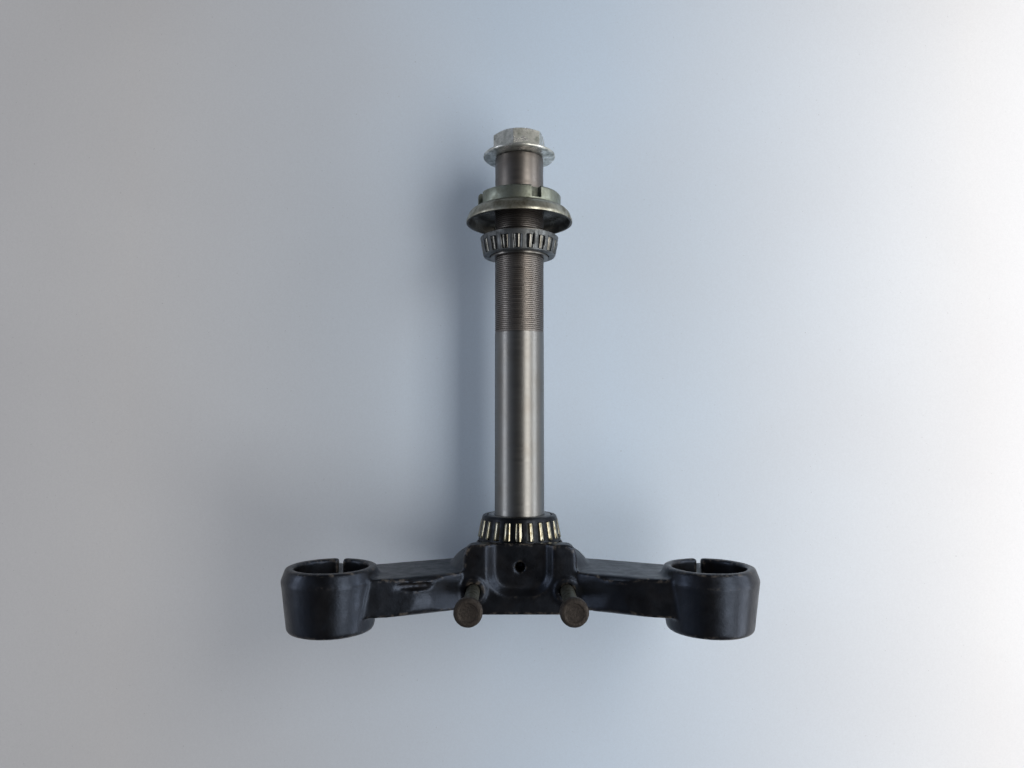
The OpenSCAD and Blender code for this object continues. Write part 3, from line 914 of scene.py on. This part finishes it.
def make_board(st, c):
    """A painted board that stands behind the part and can be seen through from its back."""
    bpy.ops.mesh.primitive_plane_add(size=6.0, rotation=(math.radians(90), 0, 0))
    board = bpy.context.object
    board.name = "board"
    board.data.transform(board.matrix_world)
    board.matrix_world.identity()
    for v in board.data.vertices:
        v.co.y = st.board_y
    material, tree, coords = new_material("painted_board")
    specks = spots(tree, coords, 1.2, 0.7, 0.76)
    grain = spots(tree, coords, 0.9, 0.2, 0.8, 2.0)
    cloud = spots(tree, coords, 160.0, 0.3, 0.7, 2.0)
    tone = add_node(tree, "ShaderNodeMath", {1: 0.25}, {0: (cloud, 0)}, operation="MULTIPLY")
    # Bluer in its middle, where the shade of the room falls on it
    axes = add_node(tree, "ShaderNodeSeparateXYZ", links={"Vector": (coords, "Object")})
    aside = add_node(tree, "ShaderNodeMath", {1: -0.02}, {0: (axes, "X")}, operation="ADD")
    aside = add_node(tree, "ShaderNodeMath", links={0: (aside, 0)}, operation="ABSOLUTE")
    middle = add_node(tree, "ShaderNodeMapRange", {"From Min": 0.24, "From Max": 0.03},
                      {"Value": (aside, 0)})
    colour = coat(tree, middle, "d0d2d6", c.board)
    colour = coat(tree, tone, colour, "b9b9bd")
    fleck = add_node(tree, "ShaderNodeMath", {1: 0.12}, {0: (grain, 0)}, operation="MULTIPLY")
    colour = coat(tree, fleck, colour, "8e8f98")
    dark = add_node(tree, "ShaderNodeMath", {1: 0.6}, {0: (specks, 0)}, operation="MULTIPLY")
    colour = coat(tree, dark, colour, "6f7078")
    shader = add_node(tree, "ShaderNodeBsdfPrincipled",
                      {"Roughness": 0.85, "Specular IOR Level": 0.2})
    tree.links.new(colour.outputs[MIX_OUT], shader.inputs["Base Color"])
    clear = add_node(tree, "ShaderNodeBsdfTransparent")
    side = add_node(tree, "ShaderNodeNewGeometry")
    mix = add_node(tree, "ShaderNodeMixShader",
                   links={0: (side, "Backfacing"), 1: (shader, 0), 2: (clear, 0)})
    add_node(tree, "ShaderNodeOutputMaterial", links={"Surface": (mix, 0)})
    board.data.materials.append(material)


def make_lamp(name, power, place, aim, size, hex_value):
    """A soft lamp that stands in one place and aims at another."""
    data = bpy.data.lights.new(name, "AREA")
    data.shape = "RECTANGLE"
    data.size, data.size_y = size
    data.energy = power
    data.color = linear(hex_value)[:3]
    lamp = link(bpy.data.objects.new(name, data))
    lamp.location = place
    lamp.rotation_euler = (Vector(aim) - Vector(place)).to_track_quat("-Z", "Y").to_euler()


# The room's brightness from its left to its right
ROOM_STOPS = ((0.0, "c4cddb"), (0.12, "b0b9c8"), (0.3, "63666c"), (0.55, "55575c"),
              (0.78, "8d9096"), (1.0, "e9e9e6"))


def make_sky(scene, st):
    """A dim room: dark behind the camera, lighter at both sides, and pale to the camera."""
    world = bpy.data.worlds.new("pale_room")
    scene.world = world
    world.use_nodes = True
    tree = world.node_tree
    tree.nodes.clear()
    path = add_node(tree, "ShaderNodeLightPath")
    coords = add_node(tree, "ShaderNodeTexCoord")
    axes = add_node(tree, "ShaderNodeSeparateXYZ", links={"Vector": (coords, "Generated")})
    across = add_node(tree, "ShaderNodeMapRange", {"From Min": -1.0, "From Max": 1.0},
                      {"Value": (axes, "X")})
    room = add_node(tree, "ShaderNodeValToRGB", links={"Fac": (across, 0)})
    while len(room.color_ramp.elements) < len(ROOM_STOPS):
        room.color_ramp.elements.new(1.0)
    for stop, (place, value) in zip(room.color_ramp.elements, ROOM_STOPS):
        stop.position = place
        stop.color = linear(value)
    lit = add_node(tree, "ShaderNodeBackground", {"Strength": st.sky}, {"Color": (room, "Color")})
    seen = add_node(tree, "ShaderNodeBackground", {"Color": linear("dfe3ea"), "Strength": 1.0})
    mix = add_node(tree, "ShaderNodeMixShader",
                   links={0: (path, "Is Camera Ray"), 1: (lit, 0), 2: (seen, 0)})
    add_node(tree, "ShaderNodeOutputWorld", links={"Surface": (mix, 0)})


def make_camera(scene, st):
    """The photograph's camera, in front of the stem and tilted up a little."""
    data = bpy.data.cameras.new("camera")
    data.sensor_fit = "HORIZONTAL"
    data.sensor_width = 36.0
    data.lens = st.focal_px * data.sensor_width / 1024
    data.clip_start = 0.01
    camera = link(bpy.data.objects.new("camera", data))
    camera.location = st.camera
    camera.rotation_euler = (math.radians(90 + st.tilt), 0, 0)
    scene.camera = camera


class TRIPLECLAMP_PT_panel(bpy.types.Panel):
    """Lists the pieces and their sizes"""

    bl_idname = "TRIPLECLAMP_PT_panel"
    bl_label = "Triple clamp"
    bl_space_type = "VIEW_3D"
    bl_region_type = "UI"
    bl_category = "Triple clamp"

    def draw(self, context):
        for group in GROUPS:
            box = self.layout.box()
            for key in getattr(context.scene, group).bl_rna.properties.keys():
                if key not in ("rna_type", "name"):
                    box.prop(getattr(context.scene, group), key)
        for operator in OPERATORS:
            self.layout.operator(operator.bl_idname)


GROUPS = {
    "clamp_stem": TripleClampStem,
    "clamp_lower_bearing": TripleClampBearing,
    "clamp_upper_bearing": TripleClampBearing,
    "clamp_colours": TripleClampColours,
    "clamp_stage": TripleClampStage,
}
OPERATORS = (
    TRIPLECLAMP_OT_stage, TRIPLECLAMP_OT_yoke, TRIPLECLAMP_OT_stem, TRIPLECLAMP_OT_lower_bearing,
    TRIPLECLAMP_OT_upper_bearing, TRIPLECLAMP_OT_cover, TRIPLECLAMP_OT_nut,
    TRIPLECLAMP_OT_head_bolt, TRIPLECLAMP_OT_front_pins, TRIPLECLAMP_OT_pinch_bolts,
)
CLASSES = (TripleClampStem, TripleClampBearing, TripleClampColours, TripleClampStage,
           *OPERATORS, TRIPLECLAMP_PT_panel)


def register():
    for item in CLASSES:
        bpy.utils.register_class(item)
    for name, group in GROUPS.items():
        setattr(bpy.types.Scene, name, PointerProperty(type=group))


def unregister():
    for name in GROUPS:
        delattr(bpy.types.Scene, name)
    for item in reversed(CLASSES):
        bpy.utils.unregister_class(item)


def main():
    register()
    for operator in OPERATORS:
        group, name = operator.bl_idname.split(".")
        getattr(getattr(bpy.ops, group), name)()


if __name__ == "__main__":
    main()
